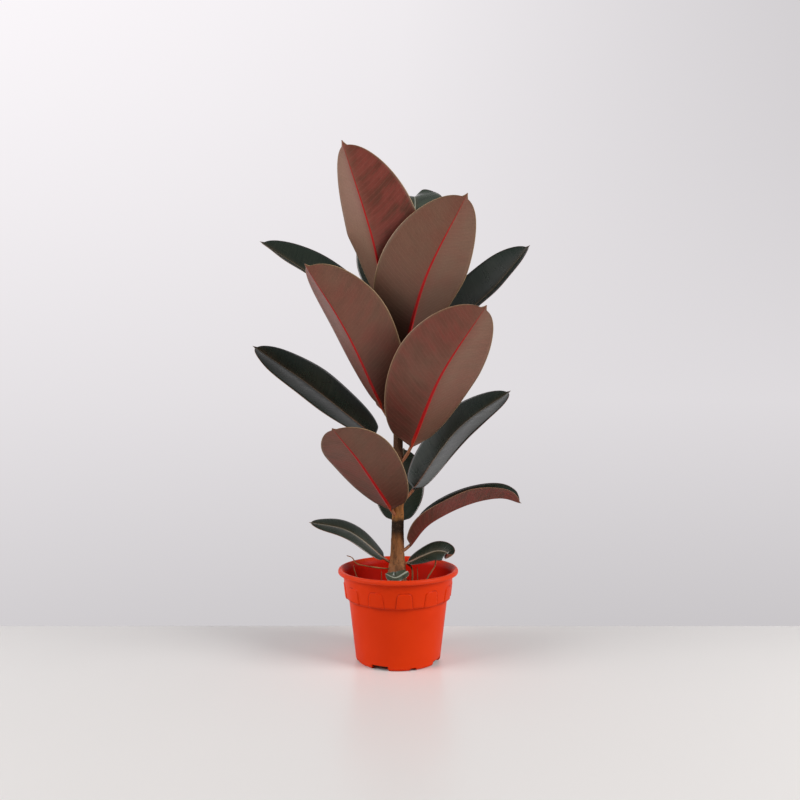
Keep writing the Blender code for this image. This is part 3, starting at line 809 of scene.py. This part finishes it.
def pot_profile():
    """Half a section of the pot as (radius, height), and the rows where its stretches start."""
    top, rim, corner = POT_HEIGHT, RIM_DIAMETER / 2, CORNER_RADIUS
    under = top - BEAD_HEIGHT
    arc = [(outer_radius(corner) - corner + corner * math.cos(math.radians(a)),
            corner + corner * math.sin(math.radians(a))) for a in range(-90, 1, 10)]
    wall = outer_radius(COLLAR_BOTTOM)
    step = [(wall + out * MM, COLLAR_BOTTOM + up * MM) for out, up in
            ((0, -1.2), (0.15, -0.5), (0.7, -0.1), (2.2, 0.1), (3.2, 0.4), (3.8, 1.0), (4.05, 1.9))]
    throat = collar_radius(under)
    bead = [(throat, under - 1.2 * MM), (throat + 0.5 * MM, under - 0.4 * MM),
            (throat + 1.6 * MM, under), (rim - 1.4 * MM, under + 0.1 * MM),
            (rim - 0.5 * MM, under + 0.5 * MM), (rim - 0.1 * MM, under + 1.3 * MM), (rim, under + 2.4 * MM),
            (rim - 0.1 * MM, top - 2.4 * MM), (rim - 0.5 * MM, top - 1.2 * MM),
            (rim - 1.3 * MM, top - 0.45 * MM), (rim - 2.4 * MM, top - 0.05 * MM), (rim - 3.4 * MM, top),
            (rim - 4.4 * MM, top - 0.3 * MM), (rim - 5.2 * MM, top - 1.1 * MM)]
    rows = [(0.0, 0.0), (30 * MM, 0.0)] + arc + filled([arc[-1], step[0]], 3 * MM)[1:] + step[1:]
    starts = {"step": len(rows) - len(step), "collar": len(rows)}
    rows += filled([step[-1], bead[0]], 0.5 * MM)[1:]
    starts["bead"] = len(rows)
    rows += bead[1:]
    starts["inside"] = len(rows)
    shoulder = COLLAR_BOTTOM + 2 * WALL
    rows += filled([(throat - WALL, under), (collar_radius(shoulder) - WALL, shoulder),
                    (wall - WALL, COLLAR_BOTTOM), (outer_radius(FLOOR + corner) - WALL, FLOOR + corner)],
                   4 * MM)
    rows += [(outer_radius(FLOOR) - WALL - 2 * MM, FLOOR + 1.2 * MM),
             (outer_radius(FLOOR) - WALL - corner, FLOOR), (25 * MM, FLOOR), (0.0, FLOOR)]
    return rows, starts


def tab_relief(angles, height, middle):
    """What one tab does to the collar: how far it lifts it, the gutter round it and the painted shade along
    its edges that face away from the light.
    """
    radius = collar_radius(height)
    turned = (angles - middle + math.pi) % (2 * math.pi) - math.pi
    climb = (height - TAB_LOW) / (TAB_HIGH - TAB_LOW)
    half = math.radians(TAB_ANGLE / 2) * radius * (1.10 - 0.22 * climb)
    dx, dz = np.abs(turned) * radius - (half - TAB_CORNER), height - (TAB_HIGH - TAB_CORNER)
    outside = np.where((dx > 0) & (dz > 0), np.hypot(np.maximum(dx, 0), np.maximum(dz, 0)),
                       np.maximum(dx, dz)) - TAB_CORNER
    lift = TAB_RAISE * (1 - smooth(outside, -0.9 * MM, 0.1 * MM))
    gutter = 0.30 * MM * np.exp(-(((outside - 0.35 * MM) / (0.45 * MM)) ** 2))
    # Painted shade, strongest on the tab edges that turn away from the front light.
    shade = 0.12 + 0.88 * smooth(np.sin(angles) * -0.25 + np.sign(turned) * np.cos(angles), -0.25, 0.45)
    edge = shade * np.exp(-(((outside - 0.2 * MM) / (0.55 * MM)) ** 2))
    return lift, gutter, edge


def cut_notches(pot):
    """Cuts the drainage notches, big and small in turn, out of the bottom edge."""
    rim = BASE_DIAMETER / 2
    cutters = []
    for i in range(NOTCH_COUNT):
        big = i % 2 == 0
        deep = rim - (NOTCH_DEPTH if big else NOTCH_DEPTH - 3 * MM)
        high = NOTCH_HEIGHT if big else NOTCH_HEIGHT * 0.6
        corners = wedge_points(deep, rim + 5 * MM, -2 * MM, high, FIRST_BIG_NOTCH + 360 / NOTCH_COUNT * i,
                               BIG_NOTCH_ANGLE if big else SMALL_NOTCH_ANGLE, NOTCH_SLOPE)
        cutter = skin(f"notch_{i}", np.array(corners).reshape(2, 6, 3), [])
        modifier = pot.modifiers.new(f"notch_{i}", "BOOLEAN")
        modifier.operation, modifier.solver, modifier.object = "DIFFERENCE", "EXACT", cutter
        cutters.append(cutter)
    bpy.context.view_layer.update()
    graph = bpy.context.evaluated_depsgraph_get()
    cut = bpy.data.meshes.new_from_object(pot.evaluated_get(graph), depsgraph=graph)
    pot.modifiers.clear()
    pot.data = cut
    for cutter in cutters:
        bpy.data.objects.remove(cutter, do_unlink=True)


def add_pot():
    profile, starts = pot_profile()
    angles = np.arange(POT_SEGMENTS) * 2 * math.pi / POT_SEGMENTS
    rings, facts = [], {"line": [], "bead": [], "inside": []}
    for row, (radius, height) in enumerate(profile):
        reach = np.full(POT_SEGMENTS, max(radius, 0.05 * MM))
        painted_shade_marks = np.zeros(POT_SEGMENTS)
        if starts["collar"] - 4 <= row < starts["bead"]:
            for i in range(TAB_COUNT):
                middle = math.radians(FRONT_TAB + 360 * i / TAB_COUNT)
                lift, gutter, edge = tab_relief(angles, height, middle)
                reach += lift
                reach -= gutter
                painted_shade_marks = np.maximum(painted_shade_marks, edge)
        if starts["step"] <= row <= starts["collar"]:
            # Painted shade under the collar's step, stronger on some sides of the pot than on others.
            worn = 0.5 + 0.5 * np.sin(angles * 2 + 1.2) + 0.25 * np.sin(angles * 9)
            painted_shade_marks = np.maximum(painted_shade_marks, 0.75 * np.clip(worn, 0.05, 1))
        rings.append(np.stack((reach * np.cos(angles), reach * np.sin(angles),
                               np.full(POT_SEGMENTS, height)), -1))
        facts["line"].append(painted_shade_marks)
        facts["bead"].append(np.full(POT_SEGMENTS, float(starts["bead"] + 3 <= row < starts["inside"])))
        facts["inside"].append(np.full(POT_SEGMENTS, float(row >= starts["inside"])))
    pot = skin("pot_body", rings, [pot_material()], True, facts)
    cut_notches(pot)
    pot.data.shade_smooth()
    pot.data.set_sharp_from_angle(angle=math.radians(50))
    stand_for(pot, "pot")


# Soil and roots ----------------------------------------------------------------------------


def soil_top(radius):
    edge = POT_HEIGHT - SOIL_DEPTH - SOIL_MOUND
    return edge + SOIL_MOUND * (1 - (radius / (RIM_DIAMETER / 2 - 12 * MM)) ** 2)


def add_crumbs(mesh, edge):
    """Lays small lumps of soil on the surface."""
    chance = random.Random(41)
    bm = bmesh.new()
    bm.from_mesh(mesh)
    for _ in range(CRUMB_COUNT):
        radius = edge * math.sqrt(chance.uniform(0.02, 0.93))
        angle = chance.uniform(0, 6.28)
        size = MM * chance.choice((0.8, 1.0, 1.3, 1.6, 2.2, 3.0))
        at = Vector((radius * math.cos(angle), radius * math.sin(angle), soil_top(radius) + 0.1 * size))
        turn = Matrix.Rotation(chance.uniform(0, 6.28), 4, "Z")
        stretch = Matrix.Diagonal((size * chance.uniform(0.8, 1.6), size * chance.uniform(0.7, 1.0),
                                   size * chance.uniform(0.5, 0.8), 1))
        shape = Matrix.Translation(at) @ turn @ stretch
        made = bmesh.ops.create_icosphere(bm, subdivisions=2, radius=1.0, matrix=shape)
        for vert in made["verts"]:
            vert.co += (vert.co - at) * 0.5 * noise.noise(vert.co * 700)
    bm.to_mesh(mesh)
    bm.free()


def add_soil():
    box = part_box("soil")
    bottom = box[0].z + 0.5 * MM
    edge = box[1].x - 0.4 * MM
    turns = [2 * math.pi * i / SOIL_SEGMENTS for i in range(SOIL_SEGMENTS)]
    rings = []
    for radius in [0.3 * MM] + [r * MM for r in np.arange(1.0, edge / MM - 0.6, 0.85)]:
        ring = []
        for angle in turns:
            x, y = radius * math.cos(angle), radius * math.sin(angle)
            lumps = noise.fractal(Vector((x * 110, y * 110, 3.1)), 0.9, 2.1, 4)
            cracks = abs(noise.noise(Vector((x * 45, y * 45, 7.7))))
            ring.append((x, y, soil_top(radius) + MM * (1.1 * lumps - 1.2 * cracks - 0.2)))
        rings.append(ring)
    shoulder = COLLAR_BOTTOM + 2 * WALL
    for radius, height in ((collar_radius(shoulder) - WALL - 0.6 * MM, shoulder),
                           (outer_radius(COLLAR_BOTTOM) - WALL - 0.6 * MM, COLLAR_BOTTOM),
                           (outer_radius(bottom) - WALL - 1.0 * MM, bottom), (0.3 * MM, bottom)):
        rings.append([(radius * math.cos(angle), radius * math.sin(angle), height) for angle in turns])
    soil = skin("soil_look", rings, [soil_material()])
    add_crumbs(soil.data, edge)
    soil.data.shade_smooth()
    stand_for(soil, "soil")


def add_root(name, values, material):
    points, width = values
    points = [Vector(point) * MM for point in points]
    spans = len(points) - 1
    count = 16 * spans
    path = [curve_point(points, spans * i / count) for i in range(count + 1)]
    chance = random.Random(sum(map(ord, name)))
    seed = chance.uniform(0, 50)
    rings = []
    for i, (centre, tangent) in enumerate(zip(path, tangents(path))):
        side = tangent.cross(Vector((0.13, 0.97, 0.2))).normalized()
        up = side.cross(tangent)
        share = i / count
        radius = width * MM / 2 * (1 - 0.35 * share)
        radius *= 1 + 0.28 * noise.noise(Vector((share * 13 * spans / 3, seed, 0.5)))
        radius *= min(1, 0.25 + (count - i) / 3)
        drift = 0.45 * MM * Vector((noise.noise(centre * 160 + Vector((seed, 0, 0))),
                                    noise.noise(centre * 160 + Vector((0, seed, 0))), 0)) * min(1, 4 * share)
        rings.append([tuple(centre + drift + radius * (side * math.cos(a) + up * math.sin(a)))
                      for a in (2 * math.pi * k / 14 for k in range(14))])
    stand_for(skin(name + "_look", rings, [material]), name)


# Stage -------------------------------------------------------------------------------------


TABLE_WIDTH, TABLE_DEPTH, TABLE_THICKNESS = 4.4, 1.644, 0.04
TABLE_BACK = 0.144  # the back edge, the far line in the front view


def add_stage():
    bm = bmesh.new()
    place = Matrix.Translation((0, TABLE_BACK - TABLE_DEPTH / 2, -TABLE_THICKNESS / 2))
    size = Matrix.Diagonal((TABLE_WIDTH, TABLE_DEPTH, TABLE_THICKNESS, 1))
    bmesh.ops.create_cube(bm, size=1.0, matrix=place @ size)
    mesh = bpy.data.meshes.new("table")
    bm.to_mesh(mesh)
    bm.free()
    table = bpy.data.objects.new("table", mesh)
    bpy.context.scene.collection.objects.link(table)
    mesh.materials.append(table_material())


def add_world():
    """A pale studio all round, darker to the right, low down and straight above.

    Matt surfaces get less of its light than it shows to the camera and to glossy ones."""
    world = bpy.data.worlds.new("studio")
    bpy.context.scene.world = world
    world.use_nodes = True
    tree = world.node_tree
    nodes, links = tree.nodes, tree.links

    def math_node(operation, a, b, clamp=False):
        made = nodes.new("ShaderNodeMath")
        made.operation, made.use_clamp = operation, clamp
        for socket, value in zip(made.inputs, (a, b)):
            if isinstance(value, bpy.types.NodeSocket):
                links.new(value, socket)
            else:
                socket.default_value = value
        return made.outputs[0]

    split = nodes.new("ShaderNodeSeparateXYZ")
    links.new(nodes.new("ShaderNodeTexCoord").outputs["Generated"], split.inputs[0])
    x, z = split.outputs["X"], split.outputs["Z"]
    above = math_node("MAXIMUM", z, 0.0)
    below = math_node("MINIMUM", z, 0.0)
    level = math_node("ADD", math_node("MULTIPLY", above, 0.25), math_node("MULTIPLY", below, 0.57))
    level = math_node("ADD", level, 0.757)
    level = math_node("ADD", level, math_node("MULTIPLY", x, -0.058))
    level = math_node("ADD", level, math_node("MULTIPLY", math_node("MULTIPLY", x, above), -0.45))
    right = math_node("MULTIPLY", math_node("MAXIMUM", x, 0.0), above)
    level = math_node("ADD", level, math_node("MULTIPLY", right, -0.6))
    level = math_node("MINIMUM", math_node("MAXIMUM", level, 0.50), 1.0)
    ceiling = nodes.new("ShaderNodeMapRange")
    ceiling.interpolation_type = "SMOOTHSTEP"
    for name, number in (("From Min", 0.52), ("From Max", 0.80), ("To Min", 1.0), ("To Max", 0.22)):
        ceiling.inputs[name].default_value = number
    links.new(z, ceiling.inputs["Value"])
    level = math_node("MULTIPLY", level, ceiling.outputs["Result"])
    matte = math_node("MULTIPLY", nodes.new("ShaderNodeLightPath").outputs["Is Diffuse Ray"], 0.45)
    level = math_node("MULTIPLY", level, math_node("SUBTRACT", 1.0, matte))
    colour = nodes.new("ShaderNodeMix")
    colour.data_type = "RGBA"
    colour.inputs[6].default_value = (0, 0, 0, 1)
    colour.inputs[7].default_value = (1.0, 0.965, 0.992, 1)
    links.new(level, colour.inputs[0])
    links.new(colour.outputs[2], nodes["Background"].inputs["Color"])


def add_flag():
    """A black cloth behind the camera that keeps the room's glare off the leaves."""
    mesh = bpy.data.meshes.new("flag")
    mesh.from_pydata([(-1.5, -2.0, -0.1), (1.5, -2.0, -0.1), (1.5, -2.0, 1.9), (-1.5, -2.0, 1.9)], [],
                     [(0, 1, 2, 3)])
    flag = bpy.data.objects.new("flag", mesh)
    bpy.context.scene.collection.objects.link(flag)
    flag.visible_camera = False
    mesh.materials.append(Finish("black_cloth", Base_Color=(0.03, 0.03, 0.03, 1), Roughness=0.9).material)


# name: place, the point that it faces, side of the square, watts, colour
LIGHTS = {
    "left_softbox": ((-1.7, -0.70, 1.15), (0, 0, 0.35), 1.1, 23, (1.0, 0.985, 0.96)),
    "right_softbox": ((1.7, -0.85, 1.25), (0, 0, 0.35), 1.1, 36, (1.0, 0.985, 0.96)),
    "front_softbox": ((0.1, -1.8, 1.7), (0, 0, 0.1), 1.0, 5, (1.0, 0.985, 0.97)),
}


def add_light(name, at, towards, size, power, colour):
    light = bpy.data.lights.new(name, "AREA")
    light.shape, light.size, light.energy, light.color = "SQUARE", size, power, colour
    lamp = bpy.data.objects.new(name, light)
    bpy.context.scene.collection.objects.link(lamp)
    lamp.location = at
    lamp.rotation_mode = "QUATERNION"
    lamp.rotation_quaternion = (Vector(towards) - Vector(at)).to_track_quat("-Z", "Y")


def add_camera():
    data = bpy.data.cameras.new("camera")
    data.lens, data.sensor_width = 35, 36
    camera = bpy.data.objects.new("camera", data)
    bpy.context.scene.collection.objects.link(camera)
    camera.location = (0.0025, -1.04, 0.344)
    camera.rotation_euler = (math.radians(90), 0, 0)
    bpy.context.scene.camera = camera


add_camera()
add_stage()
add_world()
add_flag()
for light_name, light_values in LIGHTS.items():
    add_light(light_name, *light_values)
bpy.context.scene.view_settings.view_transform = "Standard"

LEAF_MATERIALS = [leaf_upper_material(), leaf_under_material(), leaf_stalk_material()]
for leaf_name, leaf_values in LEAVES.items():
    add_leaf(leaf_name, leaf_values, LEAF_MATERIALS)
add_stem()
add_bud()
add_pot()
add_soil()
ROOT_MATERIAL = root_material()
for root_name, root_values in ROOTS.items():
    add_root(root_name, root_values, ROOT_MATERIAL)
